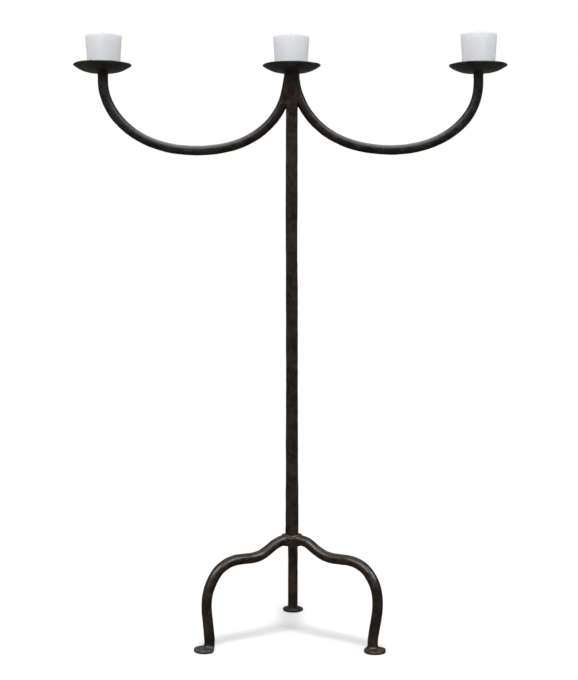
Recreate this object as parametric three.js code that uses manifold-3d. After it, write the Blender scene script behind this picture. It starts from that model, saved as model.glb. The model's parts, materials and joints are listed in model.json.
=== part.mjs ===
// Forged-iron floor candelabrum with three lights.
//
// A square stem with eased corners rises from a tripod of three round bar legs.
// Each leg starts at the hub, swells up into a shoulder, turns down and ends in a
// round foot that is forged flat and turned outwards. Two round bar arms sweep
// down and out from the top of the stem in a U and turn up again. A shallow dished
// pan sits on each arm end and on the stem, held by the shank of a pricket spike,
// and a tapered pillar candle stands in each pan over its pricket.
//
// Units are millimetres, +Z is up, +X runs along the arms, and -Y is the front.
// The origin is on the floor, at the middle of the overall bounding box.

import * as THREE from 'three';
import { mergeVertices } from 'three/addons/utils/BufferGeometryUtils.js';
import Module from 'manifold-3d';

const wasm = await Module();
wasm.setup();

// ---------------------------------------------------------------- dimensions

const GAP = 0.3;                 // clearance between touching pieces

// stem: square bar, its half width by height, corners eased
const STEM_BOTTOM = 197.8;       // underside, on top of the hub
const STEM_TOP = 1079.9;         // top, under the centre pan
const STEM_HALF = [[0, 12.6], [197.8, 12.6], [420, 11.6], [850, 11.2], [1079.9, 10.75], [1300, 10.75]];
const STEM_EASE = 2.6;           // corner chamfer, measured along each face
const TENON_R = 5.0;             // spigot under the stem, into the hub
const TENON_LEN = 12.0;

// arms: round bar, centreline in the XZ plane, from the pan to the neck
const ARM_R = 9.15;
const ARM_STEPS = 44;
const ARM_LEFT_LINE = [
  [-356.9, 1083.0], [-356.1, 1053.2], [-350.6, 1030.7], [-340.7, 1010.2], [-327.0, 991.8],
  [-310.5, 975.8], [-291.9, 962.6], [-271.8, 952.1], [-250.5, 944.3], [-228.3, 938.8],
  [-205.4, 935.7], [-182.1, 934.6], [-158.7, 935.4], [-135.6, 938.2], [-113.1, 943.3],
  [-91.6, 951.0], [-71.5, 961.4], [-53.2, 974.6], [-37.2, 990.8], [-24.2, 1009.6],
  [-14.9, 1030.5], [-9.5, 1053.0], [-5.3, 1075.5], [-4.2, 1083.0],
];
const ARM_RIGHT_LINE = [
  [351.9, 1083.0], [351.8, 1053.2], [347.9, 1030.6], [339.5, 1009.9], [326.7, 991.5],
  [310.5, 975.5], [292.0, 962.4], [272.0, 952.1], [250.9, 944.5], [228.9, 939.4],
  [206.2, 936.6], [183.2, 935.9], [160.0, 937.2], [137.1, 940.5], [114.8, 946.0],
  [93.5, 953.8], [73.6, 964.0], [55.5, 976.9], [39.4, 992.6], [25.9, 1010.7],
  [15.4, 1030.9], [8.1, 1052.8], [4.5, 1075.5], [3.6, 1083.0],
];

// legs: round bar, centreline as [distance from the stem axis, height]
const LEG_R = { left: 10.0, right: 9.95, rear: 10.3 };
const LEG_STEPS = 36;
const LEG_LEFT_LINE = [
  [181.0, -6.0], [180.3, 18.8], [182.0, 37.8], [184.0, 56.7], [185.9, 75.6], [185.7, 94.6],
  [181.6, 113.4], [173.5, 131.2], [161.6, 147.1], [146.4, 157.3], [128.7, 162.9], [109.4, 163.7],
  [89.9, 163.4], [71.2, 166.0], [53.9, 174.1], [37.1, 184.0], [19.4, 189.6], [-12.0, 188.8],
];
const LEG_RIGHT_LINE = [
  [180.5, -6.0], [181.6, 21.4], [184.4, 40.6], [188.0, 59.7], [190.8, 78.9], [191.2, 98.3],
  [187.8, 117.6], [179.7, 135.4], [166.9, 150.7], [150.6, 160.0], [132.0, 164.2], [112.3, 164.3],
  [92.4, 164.0], [73.4, 167.2], [55.6, 174.9], [38.1, 185.7], [19.9, 189.5], [-12.0, 188.8],
];
const LEG_REAR_LINE = [
  [171.6, -6.0], [171.9, 20.1], [174.0, 39.2], [176.7, 58.2], [178.9, 77.2], [179.0, 96.4],
  [175.5, 115.5], [167.8, 133.2], [156.3, 148.8], [142.0, 158.6], [125.4, 163.1], [107.2, 163.9],
  [88.7, 163.8], [70.8, 166.6], [53.9, 174.5], [37.2, 184.5], [19.5, 189.5], [-12.0, 188.8],
];
const LEG_AZIMUTH = { left: 211.3, right: 326.1, rear: 89.2 };   // degrees from +X, about Z
const FOOT_REACH = { left: 190.6, right: 185.8, rear: 181.1 };   // axis to the middle of the foot
const FOOT_R = { left: 19.6, right: 20.2, rear: 20.3 };   // flattened foot
const FOOT_THICK = { left: 6.6, right: 6.2, rear: 6.0 };

// pans: dished sheet with a raised rim
const PAN_R = 54.3;
const PAN_DEPTH = { left: 14.6, center: 13.4, right: 13.5 };   // underside of the centre to the top of the rim
const PAN_THICK = 2.6;
const PAN_POWER = 2.45;          // how the dish's section curves up to the rim
const PAN_SEAT_R = 10.0;         // flat middle that sits on the bar
const PAN_BOTTOM = 1080.2;       // height of that flat
const PAN_SEGMENTS = 36;
const PAN_X = { left: -357.5, center: -0.3, right: 351.6 };

// prickets: spike, collar and a shank that goes down through the pan into the bar
const PRICKET_SHANK_R = 4.0;
const PRICKET_SHANK_LEN = 16.0;  // below the pan's underside
const PRICKET_COLLAR_R = 9.0;
const PRICKET_COLLAR_H = 1.2;
const PRICKET_SPIKE_R = 3.2;
const PRICKET_SPIKE_H = 36.0;

// candles: tapered, wider at the top, with an eased top edge
const CANDLE_BASE_R = 30.1;
const CANDLE_TOP_R = 34.1;
const CANDLE_EASE = 1.6;
const CANDLE = {                 // axis x and y, and height of the top face
  left: [-355.0, 0, 1149.0],
  center: [-1.2, 0, 1146.8],
  right: [352.2, 0, 1151.6],
};
const WICK_R = 1.2;
const WICK_PROUD = 7.2;
const WICK_DEPTH = 12.0;

// ---------------------------------------------------------------- materials

const iron = (hex) => new THREE.MeshStandardMaterial({ color: hex, roughness: 0.55, metalness: 0.8 });
const IRON_STEM = 0x2e2621;
const IRON_ARM = 0x2b2521;
const IRON_LEG = 0x282220;
const IRON_PAN = 0x20211f;
const wax = () => new THREE.MeshStandardMaterial({ color: 0xf4f3ee, roughness: 0.45, metalness: 0.0 });
const cotton = () => new THREE.MeshStandardMaterial({ color: 0xe4e0d6, roughness: 0.95, metalness: 0.0 });

// ---------------------------------------------------------------- helpers

// A closed geometry with only merged positions, as a solid with outward faces.
function solid(geometry) {
  const g = geometry.index ? geometry.toNonIndexed() : geometry.clone();
  for (const key of Object.keys(g.attributes)) if (key !== 'position') g.deleteAttribute(key);
  const merged = mergeVertices(g, 1e-4);
  const p = merged.attributes.position.array;
  const idx = Array.from(merged.index.array);
  const kept = [];
  let volume = 0;
  for (let i = 0; i < idx.length; i += 3) {
    const [a, b, c] = [idx[i], idx[i + 1], idx[i + 2]];
    if (a === b || b === c || a === c) continue;
    kept.push(a, b, c);
    volume += p[3 * a] * (p[3 * b + 1] * p[3 * c + 2] - p[3 * b + 2] * p[3 * c + 1])
      + p[3 * a + 1] * (p[3 * b + 2] * p[3 * c] - p[3 * b] * p[3 * c + 2])
      + p[3 * a + 2] * (p[3 * b] * p[3 * c + 1] - p[3 * b + 1] * p[3 * c]);
  }
  if (volume < 0) for (let i = 0; i < kept.length; i += 3) [kept[i + 1], kept[i + 2]] = [kept[i + 2], kept[i + 1]];
  return new wasm.Manifold(new wasm.Mesh({
    numProp: 3, vertProperties: new Float32Array(p), triVerts: new Uint32Array(kept),
  }));
}

function geometryOf(manifold) {
  const mesh = manifold.getMesh();
  const g = new THREE.BufferGeometry();
  const pos = new Float32Array(mesh.numVert * 3);
  for (let i = 0; i < mesh.numVert; i++)
    for (let k = 0; k < 3; k++) pos[3 * i + k] = mesh.vertProperties[mesh.numProp * i + k];
  g.setAttribute('position', new THREE.BufferAttribute(pos, 3));
  g.setIndex(new THREE.BufferAttribute(new Uint32Array(mesh.triVerts), 1));
  g.computeVertexNormals();
  return g;
}

// A turned shape: profile points are [radius, height], closed on the axis or on itself.
function turned(profile, segments) {
  const g = new THREE.LatheGeometry(profile.map(([r, z]) => new THREE.Vector2(r, z)), segments);
  g.rotateX(Math.PI / 2);
  return g;
}

// A round bar along a smooth line through the given points.
function roundBar(points, radius, steps, sides = 10) {
  const curve = new THREE.CatmullRomCurve3(points, false, 'centripetal');
  const circle = new THREE.Shape();
  const r = radius / Math.sqrt(Math.cos(Math.PI / sides));     // mean width of the polygon is the bar's
  for (let i = 0; i < sides; i++) {
    const a = 2 * Math.PI * (i + 0.5) / sides;
    if (i === 0) circle.moveTo(r * Math.cos(a), r * Math.sin(a));
    else circle.lineTo(r * Math.cos(a), r * Math.sin(a));
  }
  circle.closePath();
  return new THREE.ExtrudeGeometry(circle, { extrudePath: curve, steps, bevelEnabled: false, curveSegments: 1 });
}

function stemHalf(z) {
  for (let i = 1; i < STEM_HALF.length; i++) {
    const [z0, h0] = STEM_HALF[i - 1];
    const [z1, h1] = STEM_HALF[i];
    if (z <= z1) return h0 + (h1 - h0) * (z - z0) / (z1 - z0);
  }
  return STEM_HALF[STEM_HALF.length - 1][1];
}

// The tapered square bar between two heights, grown by a clearance.
function squareBar(z0, z1, grow, steps) {
  const shape = new THREE.Shape();
  const e = STEM_EASE / 12;
  const pts = [[1, -1 + e], [1, 1 - e], [1 - e, 1], [-1 + e, 1], [-1, 1 - e], [-1, -1 + e], [-1 + e, -1], [1 - e, -1]];
  pts.forEach(([x, y], i) => (i ? shape.lineTo(x, y) : shape.moveTo(x, y)));
  shape.closePath();
  const g = new THREE.ExtrudeGeometry(shape, { depth: z1 - z0, steps, bevelEnabled: false });
  const p = g.attributes.position;
  for (let i = 0; i < p.count; i++) {
    const z = p.getZ(i) + z0;
    const h = stemHalf(z) + grow;
    p.setXYZ(i, p.getX(i) * h, p.getY(i) * h, z);
  }
  return g;
}

const model = new THREE.Group();

function add(name, geometry, material, parent = model) {
  const mesh = new THREE.Mesh(geometry, material);
  mesh.name = name;
  parent.add(mesh);
  return mesh;
}

// ---------------------------------------------------------------- pricket and its hole

// The shank's bore, open at the top of the bar.
function shankBore(x) {
  const r = PRICKET_SHANK_R + GAP;
  const bottom = PAN_BOTTOM - PRICKET_SHANK_LEN - 1.0;
  const g = turned([[0, bottom], [r, bottom], [r, PAN_BOTTOM + 5], [0, PAN_BOTTOM + 5]], 16);
  g.translate(x, 0, 0);
  return solid(g);
}

function pricketProfile() {
  const collar = PAN_THICK + GAP;              // height of the collar's underside over the pan's underside
  const top = collar + PRICKET_COLLAR_H;
  return [
    [0, -PRICKET_SHANK_LEN], [PRICKET_SHANK_R, -PRICKET_SHANK_LEN],
    [PRICKET_SHANK_R, collar],
    [PRICKET_COLLAR_R, collar], [PRICKET_COLLAR_R, top - 0.5], [PRICKET_COLLAR_R - 0.6, top],
    [PRICKET_SPIKE_R, top], [PRICKET_SPIKE_R * 0.72, top + PRICKET_SPIKE_H * 0.55],
    [0.6, top + PRICKET_SPIKE_H - 1], [0, top + PRICKET_SPIKE_H],
  ];
}

// ---------------------------------------------------------------- stem

{
  const tenon = turned([[0, STEM_BOTTOM - TENON_LEN], [TENON_R - 1, STEM_BOTTOM - TENON_LEN],
    [TENON_R, STEM_BOTTOM - TENON_LEN + 1], [TENON_R, STEM_BOTTOM + 4], [0, STEM_BOTTOM + 4]], 16);
  const body = solid(squareBar(STEM_BOTTOM, STEM_TOP, 0, 6)).add(solid(tenon)).subtract(shankBore(PAN_X.center));
  add('stem', geometryOf(body), iron(IRON_STEM));
}

// ---------------------------------------------------------------- arms

// The inner end lies against the stem's side and thins out towards the top.
function arm(line, x) {
  const bar = solid(roundBar(line.map(([px, pz]) => new THREE.Vector3(px, 0, pz)), ARM_R, ARM_STEPS));
  const keep = solid(new THREE.BoxGeometry(900, 60, 300).translate(0, 0, PAN_BOTTOM - GAP - 150));
  const stemCut = solid(squareBar(900, 1120, GAP, 1));
  const beyond = solid(new THREE.BoxGeometry(400, 60, 400).translate(-Math.sign(x) * 200, 0, 1000));
  return bar.intersect(keep).subtract(stemCut).subtract(beyond).subtract(shankBore(x));
}
add('arm_left', geometryOf(arm(ARM_LEFT_LINE, PAN_X.left)), iron(IRON_ARM));
add('arm_right', geometryOf(arm(ARM_RIGHT_LINE, PAN_X.right)), iron(IRON_ARM));

// ---------------------------------------------------------------- legs

// Built along +X, then turned to its azimuth. The inner end is mitred against both
// neighbours, on the planes halfway between them; low and high are those planes' angles.
function leg(side, line, low, high) {
  const reach = FOOT_REACH[side];
  const footR = FOOT_R[side];
  const t = FOOT_THICK[side];
  const bar = solid(roundBar(line.map(([pr, pz]) => new THREE.Vector3(pr, 0, pz)), LEG_R[side], LEG_STEPS));
  const foot = solid(turned([[0, 0], [footR - 2.2, 0], [footR, 2.0], [footR, t - 2.4],
    [footR - 2.4, t - 0.4], [footR - 9, t], [0, t + 0.6]], 24).translate(reach, 0, 0));
  const L = 500;
  const cut = (angle, sign) => {
    const a = THREE.MathUtils.degToRad(angle);
    return { d: [Math.cos(a), Math.sin(a)], o: [-sign * Math.sin(a) * 0.5 * GAP, sign * Math.cos(a) * 0.5 * GAP] };
  };
  const lo = cut(low, 1);
  const hi = cut(high, -1);
  const cross = lo.d[0] * hi.d[1] - lo.d[1] * hi.d[0];
  const t0 = ((hi.o[0] - lo.o[0]) * hi.d[1] - (hi.o[1] - lo.o[1]) * hi.d[0]) / cross;
  const apex = [lo.o[0] + t0 * lo.d[0], lo.o[1] + t0 * lo.d[1]];
  const wedge = new THREE.Shape();
  wedge.moveTo(apex[0], apex[1]);
  wedge.lineTo(apex[0] + L * lo.d[0], apex[1] + L * lo.d[1]);
  wedge.lineTo(apex[0] + L * hi.d[0], apex[1] + L * hi.d[1]);
  wedge.closePath();
  const mitre = solid(new THREE.ExtrudeGeometry(wedge, { depth: STEM_BOTTOM - GAP, bevelEnabled: false }));
  const socket = solid(turned([[0, STEM_BOTTOM - TENON_LEN - GAP], [TENON_R + GAP, STEM_BOTTOM - TENON_LEN - GAP],
    [TENON_R + GAP, STEM_BOTTOM + 20], [0, STEM_BOTTOM + 20]], 16));
  return bar.add(foot).intersect(mitre).subtract(socket);
}
const LEG_LINES = { left: LEG_LEFT_LINE, right: LEG_RIGHT_LINE, rear: LEG_REAR_LINE };
for (const [side, before, after] of [['left', 'rear', 'right'], ['right', 'left', 'rear'], ['rear', 'right', 'left']]) {
  const az = LEG_AZIMUTH[side];
  const low = -0.5 * ((az - LEG_AZIMUTH[before] + 360) % 360);
  const high = 0.5 * ((LEG_AZIMUTH[after] - az + 360) % 360);
  const turn = new THREE.Group();
  turn.rotation.z = THREE.MathUtils.degToRad(az);
  model.add(turn);
  add('leg_' + side, geometryOf(leg(side, LEG_LINES[side], low, high)), iron(IRON_LEG), turn);
}

// ---------------------------------------------------------------- pans, prickets, candles, wicks

// Points on the underside of the dish and on its inner face, from the seat to the rim.
function panCurve(n, depth) {
  const rise = depth - 0.6;
  const outer = [];
  const inner = [];
  for (let i = 0; i <= n; i++) {
    const s = i / n;
    const r = PAN_SEAT_R + (PAN_R - PAN_SEAT_R) * s;
    const z = rise * Math.pow(s, PAN_POWER);
    const slope = (PAN_POWER * rise * Math.pow(s, PAN_POWER - 1)) / (PAN_R - PAN_SEAT_R);
    const k = Math.hypot(1, slope);
    outer.push([r, z]);
    inner.push([r - PAN_THICK * slope / k, z + PAN_THICK / k]);
  }
  return { outer, inner };
}

// Height of the dish's inner face at a radius, over the pan's underside.
function panInnerHeight(radius, depth) {
  const { inner } = panCurve(9, depth);
  for (let i = 1; i < inner.length; i++) {
    const [r0, z0] = inner[i - 1];
    const [r1, z1] = inner[i];
    if (radius <= r1) return z0 + (z1 - z0) * (radius - r0) / (r1 - r0);
  }
  return depth;
}

// Section of the dish: underside out to the rim, over the rim, and back down inside.
function panProfile(depth) {
  const hole = PRICKET_SHANK_R + GAP;
  const n = 7;
  const { outer, inner } = panCurve(n, depth);
  const rim = outer[n];
  const lip = inner[n];
  const crown = [(rim[0] + lip[0]) / 2 + 0.35, (rim[1] + lip[1]) / 2 + 0.8];
  return [[hole, 0], ...outer, crown, ...inner.reverse(), [hole, PAN_THICK], [hole, 0]];
}

for (const side of ['left', 'center', 'right']) {
  const holder = new THREE.Group();
  holder.position.set(PAN_X[side], 0, PAN_BOTTOM);
  model.add(holder);
  add('pan_' + side, geometryOf(solid(turned(panProfile(PAN_DEPTH[side]), PAN_SEGMENTS))), iron(IRON_PAN), holder);
  add('pricket_' + side, geometryOf(solid(turned(pricketProfile(), 16))), iron(IRON_PAN), holder);

  const [cx, cy, top] = CANDLE[side];
  // the base ring rests on the dish, highest where the candle stands off its centre
  const above = panInnerHeight(Math.hypot(cx - PAN_X[side], cy) + CANDLE_BASE_R + 0.2, PAN_DEPTH[side]) + GAP;
  const base = PAN_BOTTOM + above;
  const h = top - base;
  const lean = (CANDLE_TOP_R - CANDLE_BASE_R) / h;
  const body = solid(turned([
    [0, 0], [CANDLE_BASE_R - 1, 0], [CANDLE_BASE_R, 1],
    [CANDLE_BASE_R + lean * h * 0.5, h * 0.5],
    [CANDLE_TOP_R - lean * CANDLE_EASE, h - CANDLE_EASE],
    [CANDLE_TOP_R - CANDLE_EASE * 0.35, h - CANDLE_EASE * 0.35],
    [CANDLE_TOP_R - CANDLE_EASE, h], [0, h],
  ], 32).translate(cx, cy, base));
  // cavity that the spike leaves, and the hole that the wick stands in
  const spikeTop = PAN_THICK + GAP + PRICKET_COLLAR_H + PRICKET_SPIKE_H - above;
  const cavity = solid(turned([
    [0, -2], [PRICKET_SPIKE_R + 0.8, -2], [PRICKET_SPIKE_R + 0.5, 2],
    [PRICKET_SPIKE_R * 0.72 + 0.9, spikeTop * 0.55], [1.2, spikeTop + 0.8], [0, spikeTop + 1.2],
  ], 16).translate(PAN_X[side], 0, base));
  const wickHole = solid(turned([
    [0, h - WICK_DEPTH - GAP], [WICK_R + GAP, h - WICK_DEPTH - GAP], [WICK_R + GAP, h + 2], [0, h + 2],
  ], 10).translate(cx, cy, base));
  add('candle_' + side, geometryOf(body.subtract(cavity).subtract(wickHole)), wax());
  add('wick_' + side, geometryOf(solid(turned([
    [0, h - WICK_DEPTH], [WICK_R, h - WICK_DEPTH], [WICK_R, h + WICK_PROUD - 0.4], [WICK_R - 0.4, h + WICK_PROUD], [0, h + WICK_PROUD],
  ], 10).translate(cx, cy, base))), cotton());
}

// ---------------------------------------------------------------- frame

// Centre the bounding box over the origin, with the feet on the floor.
const group = new THREE.Group();
group.add(model);
model.updateMatrixWorld(true);
const box = new THREE.Box3().setFromObject(model, true);
model.position.set(-(box.min.x + box.max.x) / 2, -(box.min.y + box.max.y) / 2, -box.min.z);

export default group;
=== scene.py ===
# Looks of the forged-iron candelabrum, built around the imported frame.
# Lengths inside the mesh code are millimetres from the stem axis (x, y) and the floor (z);
# to_row() turns them into the row frame in metres.
import json
import math

import bpy
import numpy as np
from mathutils import Matrix, Vector

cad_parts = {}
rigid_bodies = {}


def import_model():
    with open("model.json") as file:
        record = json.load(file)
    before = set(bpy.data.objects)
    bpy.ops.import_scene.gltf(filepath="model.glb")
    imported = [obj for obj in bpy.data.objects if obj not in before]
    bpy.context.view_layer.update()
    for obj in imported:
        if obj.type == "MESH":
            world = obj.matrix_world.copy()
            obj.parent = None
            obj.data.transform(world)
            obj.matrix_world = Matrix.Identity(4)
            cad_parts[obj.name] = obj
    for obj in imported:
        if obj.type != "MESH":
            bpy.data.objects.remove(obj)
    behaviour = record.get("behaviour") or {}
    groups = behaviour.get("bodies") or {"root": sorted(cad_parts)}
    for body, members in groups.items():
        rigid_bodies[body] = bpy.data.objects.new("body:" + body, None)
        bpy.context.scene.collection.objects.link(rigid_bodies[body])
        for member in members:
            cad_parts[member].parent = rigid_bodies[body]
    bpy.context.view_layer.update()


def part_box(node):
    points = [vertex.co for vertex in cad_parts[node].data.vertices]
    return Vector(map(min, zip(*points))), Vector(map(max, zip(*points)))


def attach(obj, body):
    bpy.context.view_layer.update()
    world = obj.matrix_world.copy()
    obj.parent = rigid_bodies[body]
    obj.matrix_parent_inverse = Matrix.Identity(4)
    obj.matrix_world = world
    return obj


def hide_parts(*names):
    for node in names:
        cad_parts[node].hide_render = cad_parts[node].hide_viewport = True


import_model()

# ------------------------------------------------------------------ where things are

_lo, _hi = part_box("stem")
AX, AY = (_lo.x + _hi.x) / 2, (_lo.y + _hi.y) / 2          # stem axis in the row frame, metres
STEM_Z1 = _hi.z * 1000                                    # top of the stem, mm


def node_centre(name):
    lo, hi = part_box(name)
    return (((lo.x + hi.x) / 2 - AX) * 1000, ((lo.y + hi.y) / 2 - AY) * 1000)


PAN_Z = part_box("pan_center")[0].z * 1000                   # underside of the pans
PAN_C = {k: node_centre("pan_" + k) for k in ("left", "center", "right")}
CANDLE_C = {k: node_centre("candle_" + k) for k in ("left", "center", "right")}
CANDLE_Z0 = {k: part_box("candle_" + k)[0].z * 1000 for k in PAN_C}
CANDLE_Z1 = {k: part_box("candle_" + k)[1].z * 1000 for k in PAN_C}

# ------------------------------------------------------------------ sizes, as in the CAD

STEM_BOTTOM = 197.8
STEM_HALF = [(0, 12.6), (197.8, 12.6), (420, 11.35), (640, 11.35), (850, 11.1), (1079.9, 10.75), (1300, 10.75)]
STEM_BOW = [(197.8, 0.2), (237, 0.3), (400, 0.0), (480, 0.1), (575, 0.0), (680, -0.2), (770, -0.8), (888, -0.5), (1000, -0.3), (1060, 0.0)]
ARM_R = 9.0
ARM_SWELL = {   # how much thicker the hand-drawn bar is along its length, by x
    "left": [(-360, 0.85), (-345, 0.75), (-325, 0.45), (-290, 0.05), (-120, 0.0), (-70, -0.05), (-40, 0.0), (-20, 0.2), (0, 0.3)],
    "right": [(0, 0.2), (20, 0.1), (45, 0.15), (80, 0.0), (190, 0.05), (250, 0.1), (290, 0.3), (335, 0.4), (352, 0.05), (360, 0.05)],
}
ARM_LINE = {
    "left": [
        (-356.9, 1083.0), (-356.1, 1053.2), (-350.6, 1030.7), (-340.7, 1010.2), (-327.0, 991.8),
        (-310.5, 975.8), (-291.9, 962.6), (-271.8, 952.1), (-250.5, 944.3), (-228.3, 938.8),
        (-205.4, 935.7), (-182.1, 934.6), (-158.7, 935.4), (-135.6, 938.2), (-113.1, 943.3),
        (-91.6, 951.0), (-71.5, 961.4), (-53.2, 974.6), (-37.2, 990.8), (-24.2, 1009.6),
        (-14.9, 1030.5), (-9.5, 1053.0), (-5.3, 1075.5), (-4.2, 1083.0),
    ],
    "right": [
        (351.9, 1083.0), (351.8, 1053.2), (347.9, 1030.6), (339.5, 1009.9), (326.7, 991.5),
        (310.5, 975.5), (292.0, 962.4), (272.0, 952.1), (250.9, 944.5), (228.9, 939.4),
        (206.2, 936.6), (183.2, 935.9), (160.0, 937.2), (137.1, 940.5), (114.8, 946.0),
        (93.5, 953.8), (73.6, 964.0), (55.5, 976.9), (39.4, 992.6), (25.9, 1010.7),
        (15.4, 1030.9), (8.1, 1052.8), (4.5, 1075.5), (3.6, 1083.0),
    ],
}
LEG_R = {"left": 9.7, "right": 9.7, "rear": 10.15}
LEG_SWELL = 0.32                                          # extra along the sweep, above the bend
LEG_LINE = {
    "left": [
        (180.3, 18.8), (182.0, 37.8), (184.0, 56.7), (185.9, 75.6), (185.7, 94.6),
        (181.6, 113.4), (173.5, 130.9), (161.6, 145.6), (146.4, 155.8), (128.7, 161.5),
        (109.4, 163.4), (89.9, 163.9), (71.2, 166.7), (53.9, 174.0), (37.1, 182.7), (19.4, 188.4),
    ],
    "right": [
        (181.6, 21.4), (184.4, 40.6), (188.0, 59.7), (190.8, 78.9), (191.2, 98.3),
        (187.8, 117.6), (179.7, 135.4), (166.9, 149.8), (150.6, 158.9), (132.0, 163.2),
        (112.3, 164.2), (92.4, 164.6), (73.4, 167.9), (55.6, 175.2), (38.1, 183.5), (19.9, 188.5),
    ],
    "rear": [
        (171.9, 20.1), (174.1, 39.2), (176.7, 58.2), (178.9, 77.2), (179.0, 96.5),
        (175.5, 115.5), (167.8, 133.2), (156.1, 147.7), (141.9, 157.3), (125.4, 162.3),
        (107.3, 163.8), (88.6, 164.2), (70.8, 167.3), (53.9, 174.6), (37.2, 183.1), (19.5, 188.4),
    ],
}
LEG_LIFT = {    # hand-bent departures of each leg from its drawn line: upward, by distance from the stem
    "left": [(0, 0.4), (19, 1.2), (39, 1.3), (46, 0.8), (52, 0.3), (59, -0.3), (66, -0.7), (85, -0.8), (98, -0.1), (111, 0.4), (124, 1.2), (137, 1.7), (150, 1.4), (160, 1.6), (170, 0.8), (176, 0)],
    "right": [(0, 0.4), (22, 1.1), (29, 2.0), (36, 2.5), (43, 1.4), (50, 0.4), (56, -0.3), (70, -0.7), (84, -0.9), (97, -0.4), (117, 0.2), (124, 0.8), (137, 1.1), (163, 1.1), (172, 0.6), (178, 0)],
    "rear": [(0, 0.4), (20, 1.1), (35, 1.6), (45, 0.8), (56, -0.3), (75, -0.8), (98, -0.2), (117, 0.4), (137, 1.3), (156, 1.1), (168, 0)],
}
LEG_AZ = {"left": 211.3, "right": 326.1, "rear": 89.2}
FOOT_REACH = {"left": 190.6, "right": 185.8, "rear": 181.1}
FOOT_R = {"left": 19.6, "right": 20.2, "rear": 21.3}
FOOT_TOP = {"left": 7.4, "right": 6.9, "rear": 5.9}       # thickness in the middle
FOOT_SET = {"left": (1.3, 2.1), "right": (1.4, -2.1), "rear": (0.0, 0.0)}   # forged a little off the leg: out, across
PUNCH = np.array([194.9, -8.6, 8.2])                      # out, across, up
FOOT_HEEL = {"left": 1.22, "right": 1.0, "rear": 1.0}     # how much shorter the foot is inwards
PAN_R, PAN_THICK, PAN_POWER, PAN_SEAT_R = 54.3, 2.6, 2.45, 10.0
PAN_DEPTH = {"left": 14.6, "center": 13.4, "right": 13.5}
CANDLE_BASE_R, CANDLE_TOP_R = 30.1, 34.1
SHANK_R, COLLAR_R, COLLAR_H, SPIKE_R, SPIKE_H = 4.0, 9.0, 1.2, 3.2, 36.0


def to_row(p):
    p = np.asarray(p, float)
    out = p / 1000.0
    out[:, 0] += AX
    out[:, 1] += AY
    return out


# ------------------------------------------------------------------ noise


def _hash(ix, iy, iz, seed):
    h = (ix.astype(np.int64) * 73856093) ^ (iy.astype(np.int64) * 19349663) ^ (iz.astype(np.int64) * 83492791) ^ (seed * 2654435761)
    h &= 0xFFFFFFFF
    h = (h ^ (h >> 16)) * 0x45D9F3B & 0xFFFFFFFF
    h = (h ^ (h >> 16)) * 0x45D9F3B & 0xFFFFFFFF
    h = h ^ (h >> 16)
    return (h & 0xFFFFFF) / float(0x1000000)


def vnoise(p, scale, seed=1):
    """Smooth value noise from -1 to 1; scale is the size of its features."""
    q = np.asarray(p, float) / scale
    i = np.floor(q).astype(np.int64)
    f = q - i
    w = f * f * f * (f * (f * 6 - 15) + 10)
    out = 0.0
    for dx in (0, 1):
        for dy in (0, 1):
            for dz in (0, 1):
                k = (w[:, 0] if dx else 1 - w[:, 0]) * (w[:, 1] if dy else 1 - w[:, 1]) * (w[:, 2] if dz else 1 - w[:, 2])
                out = out + k * _hash(i[:, 0] + dx, i[:, 1] + dy, i[:, 2] + dz, seed)
    return out * 2 - 1


def cells(p, scale, seed=1):
    """Distance to the nearest and second nearest of scattered points, in cells."""
    q = np.asarray(p, float) / scale
    i = np.floor(q).astype(np.int64)
    f1 = np.full(len(q), 9.0)
    f2 = np.full(len(q), 9.0)
    for dx in (-1, 0, 1):
        for dy in (-1, 0, 1):
            for dz in (-1, 0, 1):
                c = i + np.array([dx, dy, dz])
                o = np.stack([_hash(c[:, 0], c[:, 1], c[:, 2], seed + 11 * k) for k in range(3)], 1)
                d = np.sqrt((((c + 0.15 + 0.7 * o) - q) ** 2).sum(1))
                f2 = np.where(d < f1, f1, np.minimum(f2, d))
                f1 = np.minimum(f1, d)
    return f1, f2


def smooth01(x):
    x = np.clip(x, 0, 1)
    return x * x * (3 - 2 * x)


def hammered(p, amount=1.0):
    """How far the forged surface stands off the true bar at a point, in mm."""
    f1, f2 = cells(p, 15.0, 3)
    dents = (np.minimum(f1, 0.85) ** 2 - 0.33) * 0.55
    ridge = -0.10 * (1 - smooth01((f2 - f1) / 0.25))
    drift = 0.28 * vnoise(p, 55.0, 5) + 0.12 * vnoise(p, 21.0, 6)
    grain = 0.035 * vnoise(p, 4.2, 7)
    return amount * (dents + ridge + drift + 0.075) + grain


# ------------------------------------------------------------------ distance fields, mm


def smin(a, b, k):
    h = np.clip(0.5 + 0.5 * (b - a) / k, 0, 1)
    return b * (1 - h) + a * h - k * h * (1 - h)


def smax(a, b, k):
    return -smin(-a, -b, k)


def stem_half(z):
    return np.interp(z, [a for a, _ in STEM_HALF], [b for _, b in STEM_HALF])


def d_stem(p, grow=0.0):
    h = stem_half(p[:, 2]) + grow
    x, y = np.abs(p[:, 0]), np.abs(p[:, 1])
    ease = 2.6 / 12 * h
    return smax(smax(x - h, y - h, 0.8), (x + y - (2 * h - ease)) / math.sqrt(2), 1.4)


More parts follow.
